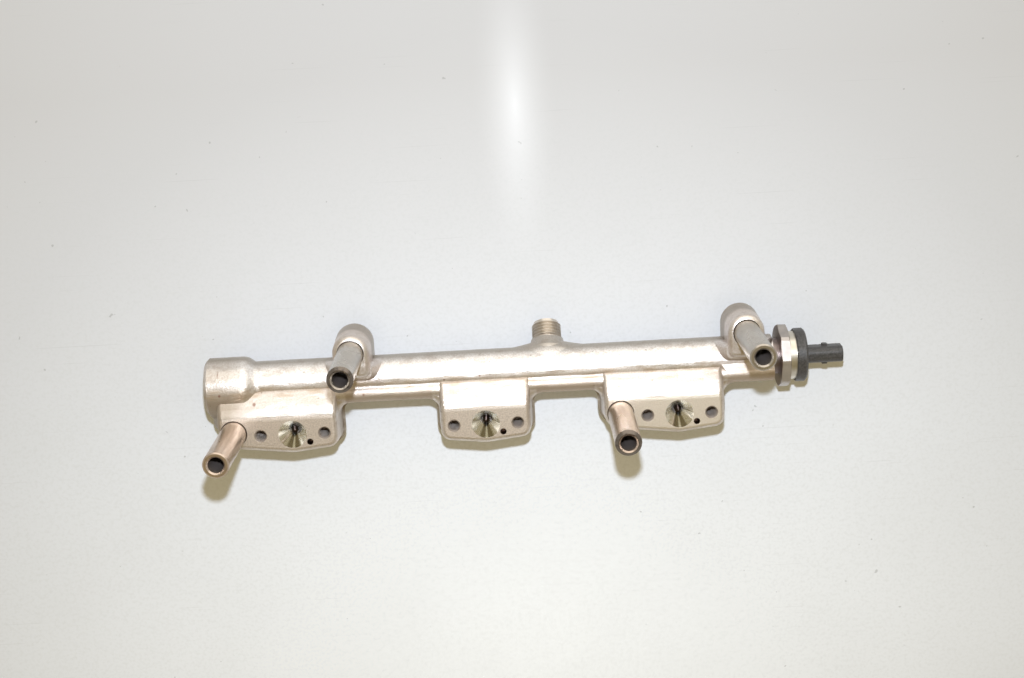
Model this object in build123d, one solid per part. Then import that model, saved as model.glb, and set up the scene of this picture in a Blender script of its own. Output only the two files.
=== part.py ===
from build123d import *
import os
from math import atan, cos, degrees, radians, sin, tan

# High-pressure fuel rail for three injector lines: one steel forging with a drilled
# gallery, four pressed-in spacer sleeves and a screwed-in pressure sensor.
# Frame: origin at the cone seat of the middle pad, on its machined face.
# +X runs along the rail to the sensor, +Y to the inlet side, +Z out of the pad faces.
# Millimetres and degrees.

# --- driving dimensions: pads --------------------------------------------------------
pad_pitch = 91.0            # between the three cone seats
pad_bolt_spacing = 30.0     # between the two tapped holes of a pad
pad_half_width = 22.6       # from the cone seat to the plain flank
pad_corner_front = 8.2      # front edge at the pad's corners, ahead of the cone seat
pad_point_front = 10.8      # front edge at the point of the shallow V
pad_corner_radius = 6.0
pad_point_radius = 16.0
pad_depth = 18.5            # from the machined face down to the underside
pad_face_rear = 10.2        # where the machined face ends and the slope starts
pad_slope_angle = 32.0
pad_slope_radius = 11.0
pad_draft = 5.0
pad_edge_radius = 2.4
notch_corner_radius = 5.0   # in plan, where a flank meets the rib

tap_mouth_diameter = 6.2
tap_core_diameter = 5.0
tap_depth = 12.5
cone_mouth_diameter = 13.4
cone_angle = 60.0
feed_diameter = 3.0
peg_hole_diameter = 3.0
peg_hole_depth = 6.0
peg_hole_along = 8.0
peg_hole_front = 4.0

# --- driving dimensions: gallery tube and its rib ------------------------------------
gallery_y = 21.2
gallery_z = -17.0
tube_diameter = 21.2
gallery_bore_diameter = 10.0
rib_diameter = 8.4
rib_drop = 5.0              # from the machined faces down to the crest of the rib
rib_front_y = 10.8          # front of the rib at the underside of the pads
rib_under_y = 15.0
rib_under_drop = 5.5
valley_radius = 2.0
flash_reach = 0.8
flash_thickness = 1.0
tube_overhang = 45.8        # from the right cone seat to the tube's open end
gallery_end_wall = 16.0

collar_diameter = 28.6
collar_shift = 1.1          # of the collar's axis, ahead of the gallery's
collar_overhang = 40.6      # from the left cone seat to the collar's closed end
collar_length = 17.2
collar_blend = 9.5
collar_chamfer = 1.5

shoulder_inset = 0.4        # forged shoulder between the collar's end and the left pad
shoulder_front_y = -2.5
shoulder_rear_y = 20.0
shoulder_drop = 4.0
shoulder_draft = 24.0
shoulder_corner_radius = 5.0

corner_drop = 5.8           # from the machined faces to the rolled corners of the notches
corner_edge_radius = 3.4
corner_rear_y = 18.5
web_left_x = 13.0           # web that closes the valley towards the sensor, from the right cone seat
web_ramp_length = 12.0
web_ramp_depth = 4.0

# --- driving dimensions: sleeves and their bosses ------------------------------------
sleeve_diameter = 12.0
sleeve_bore_diameter = 7.2
sleeve_reach = 46.7         # from the pad face to the free end
sleeve_seat_depth = 12.0
sleeve_fit = 0.02           # radial room in the bored seat
sleeve_chamfer = 0.6
sleeve_lead = 1.4           # larger chamfer of the two sleeves whose lead end points up
sleeve_bore_chamfer = 0.7
seat_chamfer = 0.35
bolt_hole_diameter = 7.8
spot_face_diameter = 15.0
spot_face_depth = 0.8
front_sleeve_offset = 27.6  # from a cone seat to the front sleeve at its left
front_sleeve_y = 1.6
front_boss_wall = 2.9
rear_sleeve_left = 30.0     # from the left cone seat to the rear sleeve at its right
rear_sleeve_right = 32.2    # from the right cone seat to the rear sleeve at its right
rear_sleeve_y = 37.3
rear_boss_wall = 3.1        # round the sleeve, at the underside
rear_boss_front_y = 24.6
rear_boss_corner_radius = 4.0
rear_boss_depth = 24.0
rear_boss_draft = 1.5
rear_boss_edge_radius = 2.5
boss_root_drop = 3.0        # from the machined faces down to where the root spreads
boss_root_reach = 8.0       # of the root beside the boss, at the gallery's height
boss_root_corner_radius = 10.5
boss_root_edge_radius = 2.5
root_inset = 0.3            # of the root's rear inside the tube

# --- driving dimensions: inlet -------------------------------------------------------
inlet_x = 31.0
inlet_drop_angle = 39.0     # below the plane of the machined faces
inlet_reach = 23.4          # from the gallery axis to the end of the stub
thread_diameter = 14.0
thread_pitch = 1.5
thread_depth = 0.92
thread_crest = 0.2
thread_turns = 5
thread_chamfer = 1.0
inlet_bore_diameter = 6.0
inlet_seat_angle = 60.0
inlet_seat_diameter = 9.6
inlet_shoulder_diameter = 15.6
inlet_shoulder_length = 1.2
inlet_cone_diameter = 20.0
inlet_cone_length = 5.2
inlet_swell_half_length = 22.0
inlet_swell_height = 3.2

# --- driving dimensions: pressure sensor ---------------------------------------------
nut_sides = 8
nut_across_flats = 28.4
nut_corner_diameter = 30.0
nut_thickness = 4.5
nut_corner_angle = 25.0
sensor_neck_diameter = 17.0
sensor_neck_length = 3.0
sensor_thread_diameter = 14.0
sensor_thread_length = 11.0
sensor_thread_fit = 0.05
sensor_thread_chamfer = 1.0
sensor_nose_diameter = 9.0
sensor_nose_chamfer = 1.0
sensor_nose_length = 2.5
sensor_port_diameter = 2.0
sensor_port_depth = 20.0
cell_diameter = 9.0
cell_height = 2.2
ring_diameter = 22.8
ring_length = 3.4
ring_wall = 1.2
ring_groove_depth = 0.6
ring_groove_width = 0.5
housing_diameter = 25.4
housing_length = 5.0
housing_edge_radius = 0.9
spigot_fit = 0.05
cavity_diameter = 16.0
cavity_depth = 5.0
board_diameter = 15.6
board_thickness = 1.0
plug_width = 7.8
plug_height = 10.6
plug_length = 17.8
plug_corner_radius = 3.4
plug_end_radius = 0.5
socket_wall = 1.0
socket_depth = 11.0
nub_length = 2.4
nub_height = 2.6
nub_reach = 1.0
nub_root = 1.0              # how far a nub reaches into the plug's wall
nub_from_end = 7.0
terminal_count = 3
terminal_pitch = 2.5
terminal_width = 0.6
terminal_height = 1.2
terminal_reach = 8.0        # free length inside the socket
terminal_fit = 0.02

# --- derived places ------------------------------------------------------------------
pad_xs = [-pad_pitch, 0.0, pad_pitch]
collar_left_x = pad_xs[0] - collar_overhang
tube_right_x = pad_xs[2] + tube_overhang
front_sleeve_xs = [pad_xs[0] - front_sleeve_offset, pad_xs[2] - front_sleeve_offset]
rear_sleeve_xs = [pad_xs[0] + rear_sleeve_left, pad_xs[2] + rear_sleeve_right]
tube_radius = tube_diameter / 2
collar_radius = collar_diameter / 2
rib_radius = rib_diameter / 2
rib_z = -rib_drop - rib_radius
rib_y = rib_front_y + (pad_depth + rib_z) * tan(radians(pad_draft)) + rib_radius
front_boss_radius = sleeve_diameter / 2 + front_boss_wall
rear_boss_radius = sleeve_diameter / 2 + rear_boss_wall
boss_root_height = -boss_root_drop - gallery_z
boss_root_angle = degrees(atan(boss_root_reach / boss_root_height))
cone_depth = (cone_mouth_diameter - feed_diameter) / 2 / tan(radians(cone_angle / 2))
nut_x = tube_right_x + sensor_neck_length
ring_x = nut_x + nut_thickness
housing_x = ring_x + ring_length
plug_x = housing_x + housing_length
plug_end_x = plug_x + plug_length
past = 5.0                  # how far a cutting tool runs out of the metal
near = 0.01                 # how close two places count as the same
upward = 0.5                # upward part of a normal that marks a top face


# --- helpers -------------------------------------------------------------------------
def across(x):
    """Plane across the rail at x, with its centre on the gallery axis."""
    return Plane(origin=(x, gallery_y, gallery_z), x_dir=(0, 1, 0), z_dir=(1, 0, 0))


def turned_along(plane, points):
    """Solid of revolution about the plane's own X, from (distance, radius) points."""
    face = plane * make_face(Polyline(*points, close=True))
    return revolve(face, Axis(plane.origin, plane.x_dir))


def turned(x, points):
    """Solid of revolution about the gallery axis, from (distance past x, radius) points."""
    plane = Plane(origin=(x, gallery_y, gallery_z), x_dir=(1, 0, 0), z_dir=(0, -1, 0))
    return turned_along(plane, points)


def upright(x, y, z, radius, height):
    """Cylinder that stands on z."""
    return Pos(x, y, z + height / 2) * Cylinder(radius, height)


def upright_cone(x, y, z, low_radius, high_radius, height):
    """Cone that stands on z."""
    return Pos(x, y, z + height / 2) * Cone(low_radius, high_radius, height)


def prism_along_x(profile, x_from, x_to):
    """Extrudes a (Y, Z) sketch along the rail."""
    plane = Plane(origin=(x_from, 0, 0), x_dir=(0, 1, 0), z_dir=(1, 0, 0))
    return extrude(plane * profile, x_to - x_from, dir=(1, 0, 0))


def drafted(plan, depth, angle):
    """Forged block that stands on -depth, reaches the machined faces and tapers upward."""
    return extrude(Pos(0, 0, -depth) * plan, depth, dir=(0, 0, 1), taper=angle)


# --- rail forging --------------------------------------------------------------------
def pad_plan(x, left, left_radius):
    """Plan of a pad: straight flanks and a shallow V at the front, rounded."""
    v_rise = (pad_point_front - pad_corner_front) / pad_half_width
    plan = Polygon(
        (-left, gallery_y),
        (-left, left * v_rise - pad_point_front),
        (0, -pad_point_front),
        (pad_half_width, -pad_corner_front),
        (pad_half_width, gallery_y),
        align=None,
    )
    plan = fillet([v for v in plan.vertices() if v.X == 0], pad_point_radius)
    front = [v for v in plan.vertices() if v.Y < 0]
    plan = fillet(min(front, key=lambda v: v.X), left_radius)
    front = [v for v in plan.vertices() if v.Y < 0]
    plan = fillet(max(front, key=lambda v: v.X), pad_corner_radius)
    return Pos(x, 0) * plan


def pad_plans():
    """Plans of the three pads: the outer two reach left round a sleeve boss."""
    reach = front_sleeve_offset + front_boss_radius
    return [
        pad_plan(pad_xs[0], reach, front_boss_radius),
        pad_plan(pad_xs[1], pad_half_width, pad_corner_radius),
        pad_plan(pad_xs[2], reach, front_boss_radius),
    ]


def slope_cut():
    """Room above the slope that falls from the machined faces to the valley."""
    rear = gallery_y + past
    drop = (rear - pad_face_rear) * tan(radians(pad_slope_angle))
    profile = Polygon(
        (pad_face_rear, 0),
        (pad_face_rear, past),
        (rear, past),
        (rear, -drop),
        align=None,
    )
    return prism_along_x(profile, collar_left_x, tube_right_x)


def pad(plan):
    """One pad: drafted block with its slope at the rear and rounded upper edges."""
    block = drafted(plan, pad_depth, pad_draft) - slope_cut()
    level = [e for e in block.edges() if abs(e.center().Z) < near]
    crease = [e for e in level if abs(e.center().Y - pad_face_rear) < near]
    block = fillet(crease, pad_slope_radius)
    top = [f for f in block.faces() if f.normal_at(f.center()).Z > upward]
    inner = [e for f in top for e in f.edges() if sum(e in g.edges() for g in top) > 1]
    rim = [e for f in top for e in f.edges() if e not in inner]
    return fillet(rim, pad_edge_radius)


def skirt():
    """Pads and rib in one drafted outline, with its inner corners and its edge rounded."""
    left = pad_xs[0] - pad_half_width
    rib = Polygon(
        (left, rib_front_y),
        (tube_right_x, rib_front_y),
        (tube_right_x, corner_rear_y),
        (left, corner_rear_y),
        align=None,
    )
    plan = rib
    for outline in pad_plans():
        plan += outline
    reach = tube_right_x - collar_left_x
    behind = Pos((tube_right_x + collar_left_x) / 2, corner_rear_y + past) * Rectangle(2 * reach, 2 * past)
    plan -= behind
    on_rib = [v for v in plan.vertices() if abs(v.Y - rib_front_y) < near]
    corners = [v for v in on_rib if abs(v.X - tube_right_x) > near]
    plan = fillet(corners, notch_corner_radius)
    floor = Pos(0, 0, -pad_depth) * plan
    block = extrude(floor, pad_depth - corner_drop, dir=(0, 0, 1), taper=pad_draft)
    rim = [e for e in block.edges() if abs(e.center().Z + corner_drop) < near]
    rear = max(e.center().Y for e in rim)
    block = fillet([e for e in rim if e.center().Y < rear - near], corner_edge_radius)
    flash = extrude(offset(plan, flash_reach), flash_thickness / 2, both=True)
    return block + Pos(0, 0, gallery_z) * flash


def tube_and_rib():
    """Round gallery tube, and along its front the rib that joins the pads."""
    section = Pos(gallery_y, gallery_z) * Circle(tube_radius)
    section += Pos(rib_y, rib_z) * Circle(rib_radius)
    section += Polygon(
        (rib_y, rib_z),
        (rib_y, -pad_depth),
        (gallery_y, -pad_depth),
        (gallery_y, rib_z),
        align=None,
    )
    valley = max(section.vertices(), key=lambda v: v.Y)
    section = fillet(valley, valley_radius)
    section += Polygon(
        (rib_front_y + flash_reach, -pad_depth + flash_thickness),
        (rib_front_y + flash_reach, -pad_depth),
        (rib_under_y, -pad_depth - rib_under_drop),
        (gallery_y, gallery_z - tube_radius),
        (gallery_y, -pad_depth + flash_thickness),
        align=None,
    )
    return prism_along_x(section, collar_left_x + collar_length / 2, tube_right_x)


def left_collar():
    """Larger turned end of the forging, which runs out into the tube."""
    start = (collar_length, collar_radius)
    end = (collar_length + collar_blend, tube_radius)
    blend = Spline(start, end, tangents=((1, 0), (1, 0)))
    lines = Polyline(
        end,
        (end[0], 0),
        (0, 0),
        (0, collar_radius - collar_chamfer),
        (collar_chamfer, collar_radius),
        start,
    )
    centre = (collar_left_x, gallery_y - collar_shift, gallery_z)
    plane = Plane(origin=centre, x_dir=(1, 0, 0), z_dir=(0, -1, 0))
    return revolve(plane * make_face(lines + blend), Axis(plane.origin, plane.x_dir))


def left_shoulder():
    """Drafted shoulder that spreads the left pad's flank out to the collar's end."""
    left = collar_left_x + shoulder_inset
    plan = Polygon(
        (left, shoulder_front_y),
        (pad_xs[0], shoulder_front_y),
        (pad_xs[0], shoulder_rear_y),
        (left, shoulder_rear_y),
        align=None,
    )
    front_left = min(plan.vertices(), key=lambda v: v.X + v.Y)
    plan = fillet(front_left, shoulder_corner_radius)
    height = pad_depth - shoulder_drop
    return extrude(Pos(0, 0, -pad_depth) * plan, height, dir=(0, 0, 1), taper=shoulder_draft)


def end_web():
    """Web from rib to tube that rises along a ramp and closes the valley towards the sensor."""
    start = pad_xs[2] + web_left_x
    profile = Polygon(
        (rib_y, rib_z),
        (rib_y, -rib_drop),
        (gallery_y, gallery_z + tube_radius),
        (gallery_y, gallery_z),
        align=None,
    )
    above_ramp = Polygon(
        (start - near, -rib_drop - web_ramp_depth),
        (start + web_ramp_length, -rib_drop),
        (start - near, past),
        align=None,
    )
    cut = extrude(Plane.XZ * above_ramp, gallery_y + past, both=True)
    return prism_along_x(profile, start, tube_right_x) - cut


def rear_boss(x):
    """Boss behind the tube for one rear sleeve: an upturned U with drafted walls."""
    outline = Pos(x, rear_sleeve_y) * Circle(rear_boss_radius)
    outline += Polygon(
        (x - rear_boss_radius, rear_boss_front_y),
        (x + rear_boss_radius, rear_boss_front_y),
        (x + rear_boss_radius, rear_sleeve_y),
        (x - rear_boss_radius, rear_sleeve_y),
        align=None,
    )
    front = [v for v in outline.vertices() if abs(v.Y - rear_boss_front_y) < near]
    outline = fillet(front, rear_boss_corner_radius)
    block = drafted(outline, rear_boss_depth, rear_boss_draft)
    rim = [e for e in block.edges() if abs(e.center().Z) < near]
    return fillet(rim, rear_boss_edge_radius) + boss_root(x)


def boss_root(x):
    """Sloping root that spreads a rear boss out over the tube."""
    half = rear_boss_radius + boss_root_reach
    front = rear_boss_front_y - boss_root_reach
    rear = rear_sleeve_y + boss_root_reach
    plan = Polygon((x - half, front), (x + half, front), (x + half, rear), (x - half, rear), align=None)
    corners = [v for v in plan.vertices() if abs(v.Y - front) < near]
    plan = fillet(corners, boss_root_corner_radius)
    root = extrude(Pos(0, 0, gallery_z) * plan, boss_root_height, dir=(0, 0, 1), taper=boss_root_angle)
    root = split(root, Plane.XZ.offset(root_inset - gallery_y - tube_radius), keep=Keep.TOP)
    wall = max(root.faces(), key=lambda f: f.center().Y)
    slanted = [e for e in wall.edges() if abs(e.center().Z - gallery_z) > near]
    slanted = [e for e in slanted if abs(e.center().X - x) > near]
    return fillet(slanted, boss_root_edge_radius)


def inlet_plane():
    """Plane whose X runs from the gallery axis out through the inlet stub."""
    drop = radians(inlet_drop_angle)
    out = (0, cos(drop), -sin(drop))
    return Plane(origin=(inlet_x, gallery_y, gallery_z), x_dir=out, z_dir=(1, 0, 0))


def inlet_swell():
    """Swelling of the tube towards the inlet: a barrel of the tube's own radius, set off."""
    centre = inlet_plane() * Pos(inlet_swell_height, 0, 0)
    plane = Plane(origin=centre.position, x_dir=(1, 0, 0), z_dir=(0, -1, 0))
    left = (-inlet_swell_half_length, tube_radius - inlet_swell_height)
    right = (inlet_swell_half_length, tube_radius - inlet_swell_height)
    crown = Spline(left, (0, tube_radius), right, tangents=((1, 0), (1, 0)))
    sides = Polyline(right, (inlet_swell_half_length, 0), (-inlet_swell_half_length, 0), left)
    return revolve(plane * make_face(crown + sides), Axis(plane.origin, plane.x_dir))


def inlet_stub():
    """Cone on the tube, turned shoulder, and the stub with the ridges of its thread."""
    root = thread_diameter / 2 - thread_depth
    crest = thread_diameter / 2
    thread_start = inlet_reach - thread_chamfer - thread_turns * thread_pitch
    shoulder = thread_start - inlet_shoulder_length
    points = [
        (0, 0),
        (0, inlet_cone_diameter / 2),
        (shoulder - inlet_cone_length, inlet_cone_diameter / 2),
        (shoulder, inlet_shoulder_diameter / 2),
        (thread_start - thread_pitch / 2, inlet_shoulder_diameter / 2),
        (thread_start - thread_pitch / 2, root),
        (thread_start, root),
    ]
    for turn in range(thread_turns):
        middle = thread_start + (turn + 0.5) * thread_pitch
        points += [(middle - thread_crest / 2, crest), (middle + thread_crest / 2, crest)]
        points.append((middle + thread_pitch / 2, root))
    points += [(inlet_reach, root), (inlet_reach, 0)]
    return turned_along(inlet_plane(), points)


def forged_blank():
    """The whole forging before it is drilled."""
    blank = tube_and_rib() + left_collar() + skirt() + left_shoulder() + end_web()
    for plan in pad_plans():
        blank += pad(plan)
    for x in rear_sleeve_xs:
        blank += rear_boss(x)
    blank += inlet_swell()
    return split(blank + inlet_stub(), Plane.YZ.offset(tube_right_x), keep=Keep.BOTTOM)


# --- drilling ------------------------------------------------------------------------
def gallery_bore():
    """Blind gallery from the sensor end, with the sensor's threaded socket."""
    closed_x = collar_left_x + gallery_end_wall
    socket = sensor_thread_diameter / 2 + sensor_thread_fit
    bore = gallery_bore_diameter / 2
    socket_end = tube_right_x - sensor_thread_length - sensor_nose_length
    length = tube_right_x + past - closed_x
    return turned(
        closed_x,
        [
            (0, 0),
            (0, bore),
            (socket_end - closed_x, bore),
            (socket_end - closed_x, socket),
            (length, socket),
            (length, 0),
        ],
    )


def cone_seat(x):
    """Cone seat of an injector line, and the drilling from it down to the gallery."""
    mouth = upright_cone(x, 0, -cone_depth, feed_diameter / 2, cone_mouth_diameter / 2, cone_depth)
    start = Vector(x, 0, -cone_depth + feed_diameter / 4)
    run = Vector(x, gallery_y, gallery_z) - start
    drill = Plane(origin=start, z_dir=run) * Cylinder(
        feed_diameter / 2, run.length, align=(Align.CENTER, Align.CENTER, Align.MIN)
    )
    return mouth + drill


def tapped_hole(x):
    """Tapped hole for the clamp of an injector line, cut at its core diameter."""
    core = tap_core_diameter / 2
    mouth = tap_mouth_diameter / 2
    drop = mouth - core
    hole = upright(x, 0, -tap_depth, core, tap_depth)
    tip = upright_cone(x, 0, -tap_depth - core / 2, 0, core, core / 2)
    return hole + tip + upright_cone(x, 0, -drop, core, mouth, drop)


def pad_drilling(x):
    """Everything that is drilled into one pad from its machined face."""
    peg_x = x + peg_hole_along
    peg = upright(peg_x, -peg_hole_front, -peg_hole_depth, peg_hole_diameter / 2, peg_hole_depth)
    half = pad_bolt_spacing / 2
    return cone_seat(x) + tapped_hole(x - half) + tapped_hole(x + half) + peg


def sleeve_seat(x, y, depth):
    """Bored seat of a sleeve, the bolt hole below it and the spot face under the bolt head."""
    seat = sleeve_diameter / 2 + sleeve_fit
    hole = upright(x, y, -sleeve_seat_depth, seat, sleeve_seat_depth)
    hole += upright_cone(x, y, -seat_chamfer, seat, seat + seat_chamfer, seat_chamfer)
    hole += upright(x, y, -depth - past, bolt_hole_diameter / 2, depth + past)
    return hole + upright(x, y, -depth - past, spot_face_diameter / 2, past + spot_face_depth)


def inlet_bore():
    """Cone seat in the end of the stub, and the bore from it to the gallery."""
    bore = inlet_bore_diameter / 2
    seat = inlet_seat_diameter / 2
    depth = (seat - bore) / tan(radians(inlet_seat_angle / 2))
    return turned_along(
        inlet_plane(),
        [(0, 0), (0, bore), (inlet_reach - depth, bore), (inlet_reach, seat), (inlet_reach, 0)],
    )


def rail_body():
    """The finished forging."""
    body = forged_blank() - gallery_bore() - inlet_bore()
    for x in pad_xs:
        body -= pad_drilling(x)
    for x in front_sleeve_xs:
        body -= sleeve_seat(x, front_sleeve_y, pad_depth)
    for x in rear_sleeve_xs:
        body -= sleeve_seat(x, rear_sleeve_y, rear_boss_depth)
    return body


# --- pressed-in sleeves --------------------------------------------------------------
def sleeve(x, y, chamfer):
    """Turned spacer sleeve, chamfered at its free end inside and outside."""
    outer = sleeve_diameter / 2
    inner = sleeve_bore_diameter / 2
    length = sleeve_seat_depth + sleeve_reach
    points = [
        (0, inner),
        (0, outer),
        (length - chamfer, outer),
        (length, outer - chamfer),
        (length, inner + sleeve_bore_chamfer),
        (length - sleeve_bore_chamfer, inner),
    ]
    foot = Plane(origin=(x, y, -sleeve_seat_depth), x_dir=(0, 0, 1), z_dir=(0, -1, 0))
    return turned_along(foot, points)


# --- pressure sensor -----------------------------------------------------------------
def nut():
    """Eight-sided spanner flange with turned-off corners, on the gallery axis."""
    corner = nut_corner_diameter / 2
    flat = nut_across_flats / 2
    outline = across(nut_x) * RegularPolygon(flat, nut_sides, major_radius=False)
    drop = (corner - flat) * tan(radians(nut_corner_angle))
    envelope = turned(
        nut_x,
        [
            (0, 0),
            (0, flat),
            (drop, corner),
            (nut_thickness - drop, corner),
            (nut_thickness, flat),
            (nut_thickness, 0),
        ],
    )
    return extrude(outline, nut_thickness) & envelope


def sensor_body():
    """Steel body: nose, thread, neck and spanner flange in one piece, with its pressure port."""
    thread = sensor_thread_diameter / 2
    nose = sensor_nose_diameter / 2
    neck = sensor_neck_diameter / 2
    tip = -sensor_thread_length - sensor_nose_length
    shank = turned(
        tube_right_x,
        [
            (tip, 0),
            (tip, nose - sensor_nose_chamfer),
            (tip + sensor_nose_chamfer, nose),
            (-sensor_thread_length, nose),
            (sensor_thread_chamfer - sensor_thread_length, thread),
            (0, thread),
            (0, neck),
            (sensor_neck_length, neck),
            (sensor_neck_length, 0),
        ],
    )
    port = sensor_port_diameter / 2
    end = tip + sensor_port_depth
    drilling = turned(tube_right_x, [(tip, 0), (tip, port), (end, port), (end, 0)])
    return shank + nut() - drilling


def sensor_cell():
    """Sensing cell, welded to the body over the pressure port."""
    radius = cell_diameter / 2
    return turned(ring_x, [(0, 0), (0, radius), (cell_height, radius), (cell_height, 0)])


def sensor_ring():
    """Crimped steel ring that ties the plastic housing to the body."""
    outer = ring_diameter / 2
    inner = outer - ring_wall
    groove = ring_groove_width
    return turned(
        ring_x,
        [
            (0, inner),
            (0, outer - ring_groove_depth),
            (groove, outer - ring_groove_depth),
            (groove, outer),
            (ring_length, outer),
            (ring_length, inner),
        ],
    )


def terminal_zs():
    """Heights of the terminals about the gallery axis."""
    return [(i - (terminal_count - 1) / 2) * terminal_pitch for i in range(terminal_count)]


def sensor_housing():
    """Moulded housing: spigot in the ring, round flange, and the connector's socket."""
    spigot = ring_diameter / 2 - ring_wall - spigot_fit
    flange = housing_diameter / 2
    edge = housing_edge_radius
    cavity = cavity_diameter / 2
    end = ring_length + housing_length
    shell = turned(
        ring_x,
        [
            (0, cavity),
            (0, spigot),
            (ring_length, spigot),
            (ring_length, flange - edge / 2),
            (ring_length + edge / 2, flange),
            (end - edge, flange),
            (end, flange - edge),
            (end, 0),
            (cavity_depth, 0),
            (cavity_depth, cavity),
        ],
    )
    outside = RectangleRounded(plug_width, plug_height, plug_corner_radius)
    plug = extrude(across(plug_x) * outside, plug_length)
    plug = fillet(plug.faces().sort_by(Axis.X)[-1].edges(), plug_end_radius)
    nub = Box(nub_length, nub_reach + nub_root, nub_height)
    for side in (-1, 1):
        nub_y = gallery_y + side * (plug_width + nub_reach - nub_root) / 2
        plug += Pos(plug_end_x - nub_from_end - nub_length / 2, nub_y, gallery_z) * nub
    inside = offset(outside, -socket_wall)
    socket = extrude(across(plug_end_x - socket_depth) * inside, socket_depth + past)
    housing = shell + plug - socket
    start = ring_x + cavity_depth
    room = 2 * terminal_fit
    slot = Box(plug_end_x - start, terminal_width + room, terminal_height + room)
    for z in terminal_zs():
        housing -= Pos((start + plug_end_x) / 2, gallery_y, gallery_z + z) * slot
    return housing


def sensor_board():
    """Round circuit board at the bottom of the housing's cavity."""
    radius = board_diameter / 2
    start = cavity_depth - board_thickness
    outline = [(start, 0), (start, radius), (cavity_depth, radius), (cavity_depth, 0)]
    return turned(ring_x, outline)


def sensor_terminals():
    """Flat terminals from the board, through the housing, into the socket."""
    start = ring_x + cavity_depth
    length = plug_end_x - socket_depth + terminal_reach - start
    blade = Box(length, terminal_width, terminal_height)
    return Compound([Pos(start + length / 2, gallery_y, gallery_z + z) * blade for z in terminal_zs()])


# --- written parts -------------------------------------------------------------------
parts = {
    "rail_body": rail_body(),
    "sleeve_front_left": sleeve(front_sleeve_xs[0], front_sleeve_y, sleeve_chamfer),
    "sleeve_front_right": sleeve(front_sleeve_xs[1], front_sleeve_y, sleeve_lead),
    "sleeve_rear_left": sleeve(rear_sleeve_xs[0], rear_sleeve_y, sleeve_lead),
    "sleeve_rear_right": sleeve(rear_sleeve_xs[1], rear_sleeve_y, sleeve_chamfer),
    "sensor_body": sensor_body(),
    "sensor_cell": sensor_cell(),
    "sensor_ring": sensor_ring(),
    "sensor_housing": sensor_housing(),
    "sensor_board": sensor_board(),
    "sensor_terminals": sensor_terminals(),
}

os.makedirs("parts", exist_ok=True)
for name, solid in parts.items():
    export_step(solid, os.path.join("parts", name + ".step"))
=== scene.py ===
import math

import bpy
from mathutils import Matrix, Vector


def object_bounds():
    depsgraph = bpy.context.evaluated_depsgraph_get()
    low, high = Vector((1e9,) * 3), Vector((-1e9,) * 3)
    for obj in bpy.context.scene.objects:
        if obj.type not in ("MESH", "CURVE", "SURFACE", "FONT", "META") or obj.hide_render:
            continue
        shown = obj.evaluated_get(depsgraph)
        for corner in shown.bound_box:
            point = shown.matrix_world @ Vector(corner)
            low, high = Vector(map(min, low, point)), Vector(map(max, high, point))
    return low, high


# Looks of the fuel rail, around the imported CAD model. Metres and degrees.
# +X runs along the rail to the sensor, +Y to the inlet, +Z out of the pad faces.

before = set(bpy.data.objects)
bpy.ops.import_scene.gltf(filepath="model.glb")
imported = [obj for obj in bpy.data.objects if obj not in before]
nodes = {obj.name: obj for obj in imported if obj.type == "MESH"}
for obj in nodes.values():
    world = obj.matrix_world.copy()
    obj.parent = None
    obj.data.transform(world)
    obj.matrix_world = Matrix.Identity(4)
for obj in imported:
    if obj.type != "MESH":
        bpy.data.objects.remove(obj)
cad_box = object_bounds()

# --- places on the rail, as in the part's source ---------------------------------------
pad_pitch = 0.091
pad_face_rear = 0.0102
cone_radius = 0.0067
cone_depth = 0.009
tap_offset = 0.015
tap_radius = 0.0031
peg_place = (0.008, -0.004)
peg_radius = 0.0015
deepest_cut = 0.0145         # no hole in the pads is deeper, apart from the feed drillings
rib_spans = [(-0.065, -0.025), (0.025, 0.0515), (0.1150, 0.1368)]   # in x, where no pad covers the rib
gallery_y = 0.0212
gallery_z = -0.017
sleeve_radius = 0.006
sleeve_bore_radius = 0.0036
sleeve_tip_z = 0.0467
sleeve_places = [(-0.1186, 0.0016), (0.0634, 0.0016), (-0.061, 0.0373), (0.1232, 0.0373)]
boss_places = [px for px, py in sleeve_places if py > gallery_y]
long_chamfers = (1, 2)       # the sleeves whose tips have the longer chamfer
lead_length = 0.0014         # of that chamfer
inlet_x = 0.031
inlet_drop = math.radians(39.0)
inlet_neck = 0.0142          # from the gallery axis to where the stub is turned
stub_half_width = 0.0085     # the turned stub and its shoulder are narrower
flange_x = 0.1398            # where the sensor's flange begins

# --- the forging's machined areas ------------------------------------------------------
hair = 0.00005               # a depth that tells a cut surface from the face it is cut in
thread_pitch = 0.001
rim_bottom = -0.0006         # z at which the plain rim of a tapped hole ends
thread_top = -0.0012         # z at which its thread is at full depth
drilling_blend = 0.0003      # height over which painted shade darkens a cone into its drilling
neck_blend = 0.0002          # length over which the stub's turned surface begins
joint_width = 0.0002         # of the dark line round a sleeve
joint_depth = 0.001
painted_dark_reflection = (0.62, 0.44)   # radians from a cone's front line: outer and inner edge of its sector of painted dark reflection
painted_glint = (0.13, 0.07)   # and of the painted glint line within it
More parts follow.
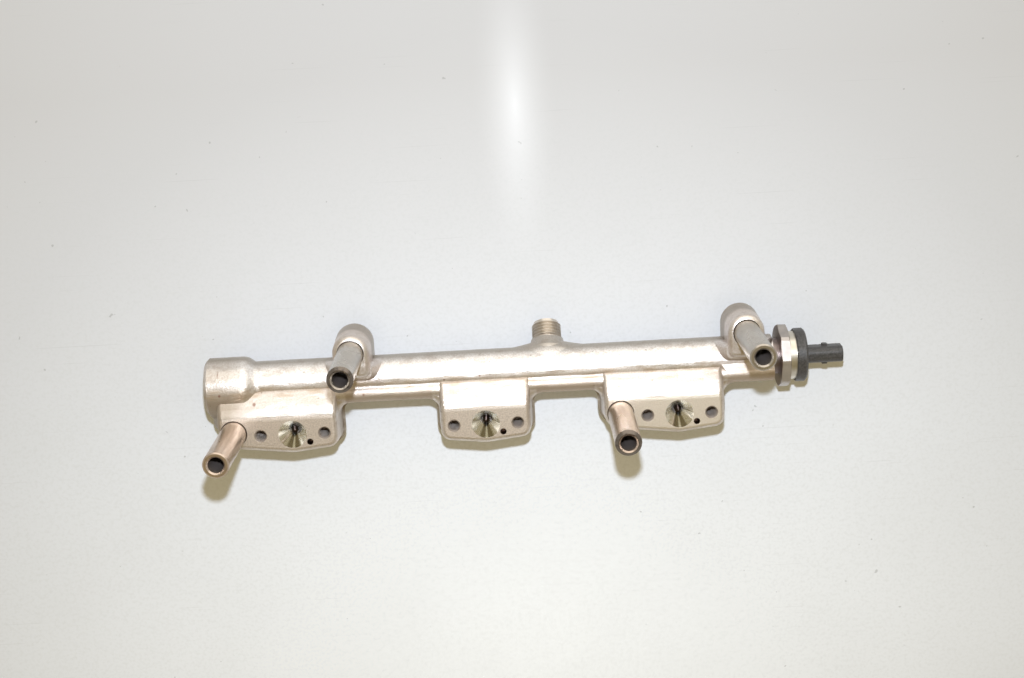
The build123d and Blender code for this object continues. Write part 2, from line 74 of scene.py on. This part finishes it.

# --- the forging's stains and painted light, each nothing at the first of two values and full at the second
even = (1.0, 1.0, 1.0)
forging_textures = {         # the noise's two levels, the size of its features, detail and stretch
    "patches": ((0.35, 0.68), 0.018, 4.0, (2.2, 1.0, 1.0)),
    "grain": ((0.35, 0.7), 0.0007, 3.0, even),
    "blotches": ((0.52, 0.66), 0.0035, 4.0, (1.6, 1.0, 1.0)),
    "specks": ((0.71, 0.76), 0.0022, 2.0, even),
    "rust_and_shade_streaks": ((0.47, 0.62), 0.0030, 4.0, (3.0, 1.0, 1.0)),
}
forging_areas = {            # bounds of each: a measure of forging_measures and its two values
    "rear": [("y", gallery_y, gallery_y + 0.004), ("sleeve", 0.0095, 0.0115)],
    "boss_root_shade": [("boss", 0.0155, 0.0120), ("y", 0.0150, 0.0200), ("sleeve", 0.0072, 0.0092)],
    "rib_height": [("y", 0.0175, 0.0155), ("z", -0.014, -0.011)],
    "collar": [("x", -0.112, -0.120)],
    "lower_collar": [("x", -0.112, -0.120), ("y", 0.0245, 0.0195)],
    "crest": [("y", 0.0150, 0.0180), ("y", 0.0235, 0.0210), ("z", -0.0100, -0.0060)],
    "front_low_shade": [("z", -0.004, -0.013), ("y", 0.014, 0.009)],
    "rear_low_shade": [("z", -0.0108, -0.0142), ("y", 0.020, 0.024)],
    "upper_side": [("z", -0.014, -0.011)],
    "right_pad": [("x", 0.03, 0.08)],
}
rib_end_blend = 0.001
scratch_place = (-0.1246, 0.0291)
scratch_size = (0.0005, 0.0020)
rust_spots = [                # x, y and radius of the dark spots on the forging's upper side
    (-0.1082, 0.0147, 0.0010),
    (-0.1241, 0.0197, 0.0008),
    (-0.0186, 0.0209, 0.0006),
    (-0.0018, 0.0220, 0.0006),
    (-0.0568, 0.0160, 0.0007),
]

# --- the forging's colours and gloss, each row over those before it ----------------------
forging_tones = [(0.66, 0.59, 0.525), (0.83, 0.78, 0.73)]
forging_stains_and_painted_light = [           # area, strength and colour
    # painted highlight: the tube's rear side lightened nearly to white
    ("rear", 0.80, (0.95, 0.935, 0.92)),
    # painted shade round the rear bosses and on the tube beside their roots
    ("boss_root_shade", 0.40, (0.50, 0.41, 0.37)),
    # painted shade: the open rib darkened to tone down its highlight
    ("rib", 0.80, (0.48, 0.39, 0.30)),
    # painted shade: the collar darkened to tone down its highlight, its lower side more
    ("collar", 0.50, (0.52, 0.45, 0.38)),
    ("lower_collar", 0.80, (0.40, 0.335, 0.25)),
    ("grain", 0.50, (0.48, 0.39, 0.325)),
    ("blotches", 0.36, (0.44, 0.35, 0.285)),
    ("specks", 0.55, (0.20, 0.14, 0.09)),
    # rust specks along the tube's crest, which also stand in for painted shade on the crest
    ("rust_and_crest_shade", 0.45, (0.47, 0.33, 0.19)),
    # painted shade on the lower flanks, at the front and along the lower rear edge
    ("painted_low_shade", 0.66, (0.29, 0.245, 0.19)),
    ("spots", 0.75, (0.26, 0.13, 0.09)),
]
face_tones = [(0.71, 0.62, 0.53), (0.54, 0.46, 0.39)]
right_face = [("right_pad", 0.60, (0.82, 0.74, 0.62))]
machined_colours = [
    ("turned", 1.0, (0.64, 0.585, 0.52)),
    ("cone", 1.0, (0.88, 0.87, 0.84)),
    # painted dark reflection in the front sector of each cone
    ("painted_dark_reflection", 0.85, (0.25, 0.21, 0.12)),
    # painted glint: a white line down the front of each cone
    ("painted_glint", 1.0, (0.95, 0.95, 0.92)),
    # painted shade down the feed drillings
    ("drilling", 1.0, (0.05, 0.035, 0.03)),
    ("holes", 1.0, (0.60, 0.52, 0.45)),
    # painted shade in the thread grooves, once each turn
    ("threads", 0.60, (0.28, 0.23, 0.19)),
    # painted shade at the mouths of the tapped holes
    ("rims", 1.0, (0.34, 0.28, 0.23)),
    # painted shade: the peg holes darkened nearly to black
    ("peg", 1.0, (0.10, 0.06, 0.04)),
    ("joint", 1.0, (0.10, 0.07, 0.05)),
]
forging_rough = (0.46, 0.38)
forging_gloss = [            # area and roughness
    ("dull", 0.58),
    ("face", 0.50),
    ("turned", 0.30),
    ("cone", 0.16),
    ("holes", 0.70),
    ("joint", 0.80),
]
hole_metal = 0.25            # of holes and bores, lower than the steel's so that their colour shows: in the bores, painted shade
cone_grooves = 0.85          # how strongly the turned cones spread a highlight across their grooves

# --- the forging's relief --------------------------------------------------------------
waves = (0.006, 1.0, (2.5, 1.0, 1.0))        # size of the features, detail and stretch
ripples = (0.0022, 2.0, (2.0, 1.0, 1.0))
wave_height = 0.0004
ripple_height = 0.0001
grain_height = 0.00004
thread_height = 0.0004
flat = 0.5                   # the middle of a noise, for surfaces without relief

# --- camera, lights and floor ----------------------------------------------------------
camera_place = (0.01894, 0.20589, 0.68357)
camera_target = (0.01441, 0.04038, 0.0)
camera_roll = 3.176
nearest_shown = 0.01
photo_width = 1024
focal_pixels = 1519.0
sensor_width = 36.0

flash_rise = 0.088           # of the small lamp above the lens, in the camera's upright
flash_radius = 0.010
flash_power = 4.65
flash_colour = (0.77, 0.86, 1.0)
soft_angle = 57.0            # of the large lamp from +Z, towards +Y
soft_distance = 0.90
soft_shift = 0.18            # of that lamp towards the sensor
soft_size = (1.40, 1.35)
soft_power = 6.3
soft_colour = (1.0, 0.965, 0.92)
room_colour = (0.39, 0.322, 0.18)
backdrop_colour = (0.72, 0.71, 0.67)
backdrop_fade = (0.60, 0.25)   # sine of the height at which the backdrop ends, and at which it is full

floor_half = 20.0
floor_middle = (0.02, -0.12)   # of its painted pool of light
floor_pale = (0.30, 0.02)      # distances from there at which the paleness ends, and at which it is full
floor_far = (0.40, 1.40)       # and between which the far floor begins to glow
# painted light on the floor: paler round its middle, painted shade towards the rear
floor_near_tones = [(0.80, 0.81, 0.84), (0.98, 0.99, 1.0)]
floor_rear_tones = [(0.66, 0.645, 0.64), (0.81, 0.79, 0.77)]
floor_rear = (-0.02, 0.16)     # y at which the rear tones begin, and at which they are full
floor_front = (-0.02, -0.13)   # likewise for the painted glow of the front
floor_textures = [           # strength, colour, the noise's two levels, size, detail and stretch
    (0.26, (0.66, 0.66, 0.65), (0.45, 0.75), 0.0016, 3.0, even),
    (0.08, (0.68, 0.68, 0.67), (0.4, 0.7), 0.05, 3.0, even),
    (0.14, (0.40, 0.39, 0.37), (0.72, 0.78), 0.0007, 1.0, (80.0, 1.0, 1.0)),
    (0.40, (0.30, 0.29, 0.27), (0.80, 0.82), 0.0035, 1.0, even),
]
# painted glare, the reflection of a lamp, and painted glows of the front and of the pale middle
glare_place = (0.0215, 0.145)
glare_size = (0.021, 0.085)
glow_colour = (0.92, 0.96, 1.0)
glare_glow = 0.28
front_glow = 0.055
pale_glow = 0.06
far_glow = 0.42


# --- node graphs -----------------------------------------------------------------------
class Graph:
    """One material or world, with short calls that add a node and wire it in one go."""

    def __init__(self, name, library=bpy.data.materials, shader="Principled BSDF"):
        self.owner = library.new(name)
        self.owner.use_nodes = True
        self.tree = self.owner.node_tree
        self.surface = self.tree.nodes[shader]
        self.coordinates = self.add("ShaderNodeTexCoord").outputs

    def add(self, kind, inputs=None, **options):
        """Adds a node with its options; each input is a number, a colour or another output."""
        node = self.tree.nodes.new(kind)
        for name, value in options.items():
            setattr(node, name, value)
        for key, value in (inputs or {}).items():
            self.feed(node.inputs[key], value)
        return node

    def feed(self, socket, value):
        if isinstance(value, bpy.types.NodeSocket):
            self.tree.links.new(value, socket)
        else:
            socket.default_value = value

    def set(self, **inputs):
        """Feeds the surface shader: underscores stand for spaces in its sockets' names."""
        for name, value in inputs.items():
            self.feed(self.surface.inputs[name.replace("_", " ")], value)

    def math(self, operation, *values):
        return self.add("ShaderNodeMath", dict(enumerate(values)), operation=operation).outputs[0]

    def mix(self, factor, low, high):
        """Blends two numbers."""
        return self.add("ShaderNodeMix", {0: factor, 2: low, 3: high}).outputs[0]

    def tint(self, factor, low, high):
        """Blends two colours."""
        node = self.add("ShaderNodeMix", {0: factor, 6: opaque(low), 7: opaque(high)}, data_type="RGBA")
        return node.outputs[2]

    def lay(self, colour, masks, rows):
        """Lays colours over one another, each in the mask that its row names, at its strength."""
        for name, strength, tone in rows:
            colour = self.tint(self.math("MULTIPLY", masks[name], strength), colour, tone)
        return colour

    def fade(self, value, start, end):
        """0 at start, 1 at end, held beyond them."""
        return self.add("ShaderNodeMapRange", {0: value, 1: start, 2: end}).outputs[0]

    def within(self, value, limit):
        return self.math("LESS_THAN", value, limit)

    def both(self, *masks):
        product = masks[0]
        for mask in masks[1:]:
            product = self.math("MULTIPLY", product, mask)
        return product

    def either(self, *masks):
        highest = masks[0]
        for mask in masks[1:]:
            highest = self.math("MAXIMUM", highest, mask)
        return highest

    def least(self, *values):
        lowest = values[0]
        for value in values[1:]:
            lowest = self.math("MINIMUM", lowest, value)
        return lowest

    def noise(self, size, detail, stretch=even):
        """Noise from 0 to 1 with features about size long, drawn out by stretch."""
        scale = [1.0 / (size * s) for s in stretch]
        place = self.add("ShaderNodeMapping", {"Vector": self.coordinates["Object"], "Scale": scale})
        texture = {"Vector": place.outputs[0], "Scale": 1.0, "Detail": detail}
        return self.add("ShaderNodeTexNoise", texture).outputs[0]

    def texture(self, levels, size, detail, stretch=even):
        """Noise that is 0 up to the first of two levels and 1 from the second on."""
        return self.fade(self.noise(size, detail, stretch), *levels)

    def axes(self, space="Object"):
        return self.add("ShaderNodeSeparateXYZ", {0: self.coordinates[space]}).outputs

    def bump(self, height, depth, normal=None):
        """Raises the surface by depth where height is 1, on top of an earlier bump."""
        node = self.add("ShaderNodeBump", {"Height": height, "Distance": depth, "Strength": 1.0})
        if normal is not None:
            self.feed(node.inputs["Normal"], normal)
        return node.outputs[0]

    def plan(self, x, y):
        """The point's place seen from above."""
        return self.add("ShaderNodeCombineXYZ", {"X": x, "Y": y}).outputs[0]

    def from_axis(self, plan, x, y):
        """Distance in plan from an upright axis."""
        node = self.add("ShaderNodeVectorMath", {0: plan, 1: (x, y, 0.0)}, operation="DISTANCE")
        return node.outputs["Value"]

    def apart(self, value, place):
        """Distance between two numbers."""
        return self.math("ABSOLUTE", self.math("SUBTRACT", value, place))

    def streak(self, x, y, centre, half_size):
        """1 in the middle of an upright ellipse, 0 outside it."""
        half_width, half_length = half_size
        narrow = half_length / half_width
        plan = self.plan(self.math("MULTIPLY", x, narrow), y)
        return self.fade(self.from_axis(plan, centre[0] * narrow, centre[1]), half_length, 0.0)

    def looks(self):
        """1 for the rays that show a backdrop: direct, mirrored and seen through."""
        rays = self.add("ShaderNodeLightPath").outputs
        return self.either(rays["Is Camera Ray"], rays["Is Glossy Ray"], rays["Is Transmission Ray"])

    def open_below(self):
        """Lets the sheet be seen through from its back."""
        back = self.add("ShaderNodeNewGeometry").outputs["Backfacing"]
        clear = self.add("ShaderNodeBsdfTransparent").outputs[0]
        sheet = self.add("ShaderNodeMixShader", {0: back, 1: self.surface.outputs[0], 2: clear})
        self.feed(self.tree.nodes["Material Output"].inputs[0], sheet.outputs[0])


def opaque(colour):
    """Adds the alpha that a colour socket needs; outputs pass through."""
    if isinstance(colour, bpy.types.NodeSocket):
        return colour
    return (*colour, 1.0)


# --- the forging -----------------------------------------------------------------------
def forging_measures(g):
    """What the forging's masks go by: coordinates, and distances from the axes of its features.

    cone, tap, peg and sleeve are distances in plan from the nearest axis of each kind, boss is
    one along the rail from the nearer rear sleeve, and turn is the angle from a cone's front.
    """
    x, y, z = g.axes()
    plan = g.plan(x, y)
    pad_x = g.math("WRAP", x, pad_pitch / 2, -pad_pitch / 2)
    pad_plan = g.plan(pad_x, y)
    along_y = g.math("MULTIPLY", g.math("SUBTRACT", y, gallery_y), math.cos(inlet_drop))
    along_z = g.math("MULTIPLY", g.math("SUBTRACT", z, gallery_z), -math.sin(inlet_drop))
    return {
        "x": x,
        "y": y,
        "z": z,
        "plan": plan,
        "pad_plan": pad_plan,
        "cone": g.from_axis(pad_plan, 0.0, 0.0),
        "turn": g.math("ARCTAN2", g.math("ABSOLUTE", pad_x), g.math("MULTIPLY", y, -1.0)),
        "tap": g.least(*[g.from_axis(pad_plan, side * tap_offset, 0.0) for side in (-1, 1)]),
        "peg": g.from_axis(pad_plan, *peg_place),
        "sleeve": g.least(*[g.from_axis(plan, *place) for place in sleeve_places]),
        "boss": g.least(*[g.apart(x, px) for px in boss_places]),
        "along_inlet": g.math("ADD", along_y, along_z),
        "beside_inlet": g.apart(x, inlet_x),
    }


def machined_masks(g, at):
    """Masks of the pads' faces and holes, the joints round the sleeves and the turned inlet, and of the
    painted shade, reflection and glint in cones and holes.
    """
    z = at["z"]
    cut = g.both(g.fade(z, -hair, -2 * hair), g.math("GREATER_THAN", z, -deepest_cut))
    cone = g.both(cut, g.within(at["cone"], cone_radius + hair))
    holes = g.both(cut, g.within(at["tap"], tap_radius + hair))
    half_turn = thread_pitch / 2
    turns = g.fade(g.math("PINGPONG", z, half_turn), 0.0, half_turn)
    level_face = g.fade(z, -4 * hair, -2 * hair)
    joint = g.fade(at["sleeve"], sleeve_radius + 2 * joint_width, sleeve_radius + joint_width)
    stub = g.fade(at["along_inlet"], inlet_neck - neck_blend, inlet_neck)
    return {
        "face": g.both(level_face, g.within(at["y"], pad_face_rear)),
        "cone": cone,
        "painted_dark_reflection": g.both(cone, g.fade(at["turn"], *painted_dark_reflection)),
        "painted_glint": g.both(cone, g.fade(at["turn"], *painted_glint)),
        "drilling": g.both(cone, g.fade(z, drilling_blend - cone_depth, -cone_depth)),
        "holes": holes,
        "rims": g.both(holes, g.fade(z, thread_top, rim_bottom)),
        "threads": g.both(holes, turns, g.fade(z, rim_bottom, thread_top)),
        "peg": g.both(cut, g.within(at["peg"], peg_radius + hair)),
        "joint": g.both(joint, g.fade(z, -1.5 * joint_depth, -joint_depth)),
        "turned": g.both(stub, g.within(at["beside_inlet"], stub_half_width)),
    }


def open_rib(g, x):
    """1 along the stretches of the rib that no pad covers."""
    stretches = []
    for left, right in rib_spans:
        start = g.fade(x, left - rib_end_blend, left)
        end = g.fade(x, right + rib_end_blend, right)
        stretches.append(g.both(start, end))
    return g.either(*stretches)


def stain_and_shade_masks(g, at):
    """Masks of the forging's blasted, brown, rusty and spotted areas, and of its painted highlight and
    painted shade.
    """
    masks = {name: g.texture(*row) for name, row in forging_textures.items()}
    for name, bounds in forging_areas.items():
        masks[name] = g.both(*[g.fade(at[measure], start, end) for measure, start, end in bounds])
    masks["rib"] = g.both(open_rib(g, at["x"]), masks["rib_height"])
    masks["dull"] = g.either(masks["rib"], masks["lower_collar"])
    masks["rust_and_crest_shade"] = g.both(masks["crest"], masks["rust_and_shade_streaks"])
    masks["painted_low_shade"] = g.either(masks["front_low_shade"], masks["rear_low_shade"])
    marks = [g.streak(at["x"], at["y"], scratch_place, scratch_size)]
    for spot_x, spot_y, radius in rust_spots:
        marks.append(g.fade(g.from_axis(at["plan"], spot_x, spot_y), radius, radius / 2))
    masks["spots"] = g.both(g.either(*marks), masks["upper_side"])
    return masks


def forged_steel():
    """Blasted forging: warm satin steel, with its machined faces, holes and stains, and painted highlight
    and shade.
    """
    g = Graph("forged_steel")
    at = forging_measures(g)
    masks = {**machined_masks(g, at), **stain_and_shade_masks(g, at)}

    colour = g.lay(g.tint(masks["patches"], *forging_tones), masks, forging_stains_and_painted_light)
    face_tone = g.lay(g.tint(masks["grain"], *face_tones), masks, right_face)
    colour = g.tint(masks["face"], colour, face_tone)
    colour = g.lay(colour, masks, machined_colours)

    rough = g.mix(masks["patches"], *forging_rough)
    for name, roughness in forging_gloss:
        rough = g.mix(masks[name], rough, roughness)

    cut = g.either(masks["cone"], masks["holes"], masks["peg"], masks["turned"])
    smooth = g.either(cut, masks["face"])
    relief = g.bump(g.mix(smooth, g.noise(*waves), flat), wave_height)
    relief = g.bump(g.mix(smooth, g.noise(*ripples), flat), ripple_height, relief)
    relief = g.bump(g.mix(cut, masks["grain"], flat), grain_height, relief)
    relief = g.bump(masks["threads"], thread_height, relief)

    g.set(Base_Color=colour, Metallic=g.mix(masks["holes"], 1.0, hole_metal), Roughness=rough, Normal=relief)
    g.set(Anisotropic=g.math("MULTIPLY", masks["cone"], cone_grooves), Tangent=at["pad_plan"])
    return g.owner


# --- sleeves and sensor ----------------------------------------------------------------
def sleeve_steel(name, tone, dark):
    """Smooth turned tube: faint rings round it, a bright end face and painted shade down its bore."""
    ring_texture = (0.0006, 2.0, (20.0, 20.0, 1.0))
    ring_levels = (0.5, 0.75)
    ring_height = 0.00002
    cloud_texture = ((0.3, 0.7), 0.012, 3.0, (1.0, 1.0, 2.0))
    scuff_texture = ((0.55, 0.75), 0.0015, 3.0, (1.0, 1.0, 3.0))
    stains = [("rings", 0.22, (0.30, 0.24, 0.18)), ("scuffs", 0.30, (0.26, 0.20, 0.16))]
    lead_tones = [(0.19, 0.16, 0.135), (0.06, 0.05, 0.045)]
    # painted shade down the bore
    bore_shade_colour = (0.20, 0.165, 0.145)
    bore_rough = 0.45
    outer_rough = (0.33, 0.26)
    bore_margin = 0.0003         # beyond the bore's radius, for the masks of its wall
    lead_margin = 0.0007         # and of the tip's outer chamfer
    lead_blend = 0.0002
    bore_shade = (0.0006, 0.003)   # depths below the tip at which the painted shade in the bore begins, and at which it is full

    g = Graph(name)
    x, y, z = g.axes()
    plan = g.plan(x, y)
    axes = [g.from_axis(plan, *place) for place in sleeve_places]
    nearest = g.least(*axes)
    shade = g.fade(z, *[sleeve_tip_z - depth for depth in bore_shade])
    deep = g.both(g.within(nearest, sleeve_bore_radius + bore_margin), shade)
    chosen = g.within(g.least(*[axes[i] for i in long_chamfers]), 2 * sleeve_radius)
    outside = g.math("GREATER_THAN", nearest, sleeve_bore_radius + lead_margin)
    lead_z = sleeve_tip_z - lead_length
    lead = g.both(chosen, outside, g.fade(z, lead_z - lead_blend, lead_z))

    rings = g.noise(*ring_texture)
    clouds = g.texture(*cloud_texture)
    masks = {"rings": g.fade(rings, *ring_levels), "scuffs": g.texture(*scuff_texture)}
    colour = g.lay(g.tint(clouds, dark, tone), masks, stains)
    colour = g.tint(lead, colour, g.tint(masks["scuffs"], *lead_tones))
    colour = g.tint(deep, colour, bore_shade_colour)
    rough = g.mix(deep, g.mix(clouds, *outer_rough), bore_rough)
    relief = g.bump(rings, ring_height)
    g.set(Base_Color=colour, Metallic=g.mix(deep, 1.0, hole_metal), Roughness=rough, Normal=relief)
    return g.owner


def turned_steel(name, tone, rough, shaded_to=None):
    """Turned steel of the sensor, with faint rings about its axis, and painted shade up to the x of its last
    argument.
    """
    ring_texture = (0.0005, 2.0, (1.0, 20.0, 20.0))
    ring_height = 0.000015
    cloud_texture = ((0.3, 0.7), 0.006, 3.0)
    cloud_shade = 0.72
    cloud_rough = 0.06
    # painted shade on the sensor's neck, left of its flange
    shade_blend = 0.0004
    shade_strength = 0.8
    shade_colour = (0.22, 0.165, 0.15)

    g = Graph(name)
    clouds = g.texture(*cloud_texture)
    colour = g.tint(clouds, tuple(cloud_shade * value for value in tone), tone)
    if shaded_to is not None:
        neck_shade = g.fade(g.axes()[0], shaded_to + shade_blend, shaded_to)
        colour = g.tint(g.math("MULTIPLY", neck_shade, shade_strength), colour, shade_colour)
    g.set(Base_Color=colour, Metallic=1.0, Roughness=g.mix(clouds, rough + cloud_rough, rough))
    g.set(Normal=g.bump(g.noise(*ring_texture), ring_height))
    return g.owner


def moulded_plastic():
    """Black moulding with a fine spark-eroded grain and dusty patches."""
    grain_texture = (0.0004, 2.0)
    plastic_grain_height = 0.00002
    dust_texture = ((0.35, 0.80), 0.0008, 4.0)
    black_tones = [(0.034, 0.031, 0.030), (0.105, 0.096, 0.090)]
    black_rough = (0.36, 0.5)

    g = Graph("sensor_plastic")
    dust = g.texture(*dust_texture)
    g.set(Base_Color=g.tint(dust, *black_tones), Roughness=g.mix(dust, *black_rough))
    g.set(Normal=g.bump(g.noise(*grain_texture), plastic_grain_height), Specular_IOR_Level=0.6)
    return g.owner


def board():
    """Green circuit board with faint tracks."""
    track_texture = ((0.48, 0.52), 0.0012, 1.0)
    board_tones = [(0.02, 0.11, 0.05), (0.03, 0.16, 0.07)]

    g = Graph("sensor_board")
    g.set(Base_Color=g.tint(g.texture(*track_texture), *board_tones), Roughness=0.35)
    return g.owner


def tinned():
    """Tinned contact blades."""
    streak_texture = (0.0008, 2.0, (6.0, 1.0, 1.0))
    tin_tones = [(0.62, 0.60, 0.55), (0.78, 0.76, 0.70)]

    g = Graph("sensor_terminals")
    g.set(Base_Color=g.tint(g.noise(*streak_texture), *tin_tones), Metallic=1.0, Roughness=0.28)
    return g.owner


def dress():
    """Gives each CAD node its material."""
    front = sleeve_steel("sleeve_front", (0.66, 0.545, 0.455), (0.52, 0.415, 0.33))
    rear = sleeve_steel("sleeve_rear", (0.51, 0.465, 0.405), (0.39, 0.345, 0.29))
    looks = {
        "rail_body": forged_steel(),
        "sleeve_front_left": front,
        "sleeve_front_right": front,
        "sleeve_rear_left": rear,
        "sleeve_rear_right": rear,
        "sensor_body": turned_steel("sensor_steel", (0.54, 0.495, 0.46), 0.34, flange_x),
        "sensor_cell": turned_steel("sensor_cell", (0.70, 0.70, 0.70), 0.35),
        "sensor_ring": turned_steel("sensor_ring", (0.70, 0.65, 0.56), 0.30),
        "sensor_housing": moulded_plastic(),
        "sensor_board": board(),
        "sensor_terminals": tinned(),
    }
    for name, material in looks.items():
        nodes[name].material_slots[0].material = material


# --- stage -----------------------------------------------------------------------------
def look_along(place, target, roll=0.0):
    """Pose of a camera or lamp at place that looks at target, its top to +Y, rolled clockwise."""
    back = (Vector(place) - Vector(target)).normalized()
    right = Vector((0.0, 1.0, 0.0)).cross(back).normalized()
    turn = Matrix((right, back.cross(right), back)).transposed().to_4x4()
    return Matrix.Translation(place) @ turn @ Matrix.Rotation(-math.radians(roll), 4, "Z")


def add_camera():
    data = bpy.data.cameras.new("camera")
    data.sensor_width = sensor_width
    data.lens = focal_pixels / photo_width * sensor_width
    data.clip_start = nearest_shown
    camera = bpy.data.objects.new("camera", data)
    bpy.context.collection.objects.link(camera)
    camera.matrix_world = look_along(camera_place, camera_target, camera_roll)
    bpy.context.scene.camera = camera
    return camera


def add_lamp(name, place, target, size, power, colour):
    """A rectangular lamp at place that shines at target."""
    data = bpy.data.lights.new(name, "AREA")
    data.shape = "RECTANGLE"
    data.size, data.size_y = size
    data.energy = power
    data.color = colour
    lamp = bpy.data.objects.new(name, data)
    bpy.context.collection.objects.link(lamp)
    lamp.matrix_world = look_along(place, target)
    lamp.visible_camera = False
    return lamp


def add_lights(camera):
    """A small lamp above the lens for the sharp shadows, and a large one that only gloss reflects."""
    middle = Vector((camera_target[0], gallery_y, 0.0))
    upright = camera.matrix_world.to_3x3() @ Vector((0.0, 1.0, 0.0))
    flash = Vector(camera_place) + flash_rise * upright
    flash_size = (2 * flash_radius, 2 * flash_radius)
    add_lamp("flash", flash, middle, flash_size, flash_power, flash_colour)
    lean = math.radians(soft_angle)
    soft = middle + Vector((soft_shift, soft_distance * math.sin(lean), soft_distance * math.cos(lean)))
    reflector = add_lamp("soft", soft, middle, soft_size, soft_power, soft_colour)
    reflector.visible_diffuse = False


def add_room():
    """Warm dim room that lights the shadows, with a pale backdrop round the horizon and below it."""
    g = Graph("room", bpy.data.worlds, "Background")
    height = g.axes("Generated")[2]
    backdrop = g.both(g.fade(height, *backdrop_fade), g.looks())
    g.set(Color=g.tint(backdrop, room_colour, backdrop_colour))
    bpy.context.scene.world = g.owner


def floor_material():
    """Pale table top: fine mottle, specks and hairlines, a painted pool of light in the middle, painted
    shade towards the rear, a painted glare and glow, and a glow of the far floor.
    """
    g = Graph("floor")
    x, y = g.axes()[:2]
    distance = g.from_axis(g.plan(x, y), *floor_middle)
    pale = g.fade(distance, *floor_pale)
    near_colour = g.tint(pale, *floor_near_tones)
    colour = g.tint(g.fade(y, *floor_rear), near_colour, g.tint(pale, *floor_rear_tones))
    for strength, tone, *texture in floor_textures:
        colour = g.tint(g.math("MULTIPLY", g.texture(*texture), strength), colour, tone)

    glare = g.streak(x, y, glare_place, glare_size)
    glow = g.math("MULTIPLY", g.both(glare, glare), glare_glow)
    front = g.fade(y, *floor_front)
    far = g.fade(distance, *floor_far)
    for mask, strength in ((front, front_glow), (pale, pale_glow), (far, far_glow)):
        glow = g.math("ADD", glow, g.math("MULTIPLY", mask, strength))
    g.set(Base_Color=colour, Roughness=0.7, Specular_IOR_Level=0.0)
    g.set(Emission_Color=opaque(glow_colour), Emission_Strength=g.math("MULTIPLY", glow, g.looks()))
    g.open_below()
    return g.owner


def add_floor():
    height = cad_box[0][2]
    sides = (-floor_half, floor_half)
    corners = [(px, py, height) for py in sides for px in sides]
    mesh = bpy.data.meshes.new("floor")
    mesh.from_pydata(corners, [], [(0, 1, 3, 2)])
    mesh.materials.append(floor_material())
    floor = bpy.data.objects.new("floor", mesh)
    bpy.context.collection.objects.link(floor)


dress()
add_lights(add_camera())
add_room()
add_floor()
bpy.context.scene.view_settings.view_transform = "Standard"
